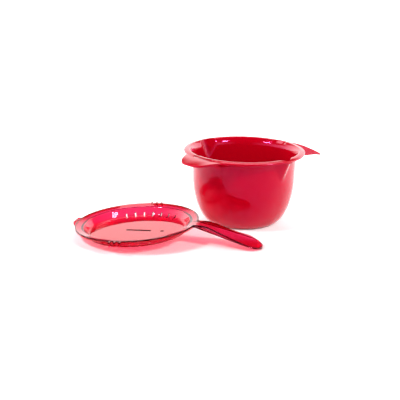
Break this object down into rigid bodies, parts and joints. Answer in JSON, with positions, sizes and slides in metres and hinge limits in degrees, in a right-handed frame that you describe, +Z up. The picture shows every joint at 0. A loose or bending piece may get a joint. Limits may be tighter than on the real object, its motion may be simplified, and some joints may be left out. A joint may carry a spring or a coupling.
{
  "type": "mixing bowl with strainer",
  "caption": "Mixing bowl with pour spouts, a hollow side handle and a slotted helper grip, beside a long-handled strainer that hooks over its rim.",
  "frame": {"origin": "centre of the bowl's flat base, on the table", "axes": "+X along the bowl's handle, +Z up, the pour spouts point along +Y and -Y"},
  "size_m": [0.5507, 0.3229, 0.142],
  "materials": {
    "bowl_plastic": "glossy opaque red moulded plastic",
    "strainer_plastic": "polished see-through red moulded plastic"
  },
  "bodies": {
    "bowl": {"bowl": "bowl_plastic"},
    "strainer": {"strainer": "strainer_plastic"}
  },
  "joints": [
    {"name": "strainer_lift", "type": "slide", "parent": "bowl", "child": "strainer", "axis": [-0.583, 0.142, 0.8], "range_m": [0, 0.22]}
  ]
}
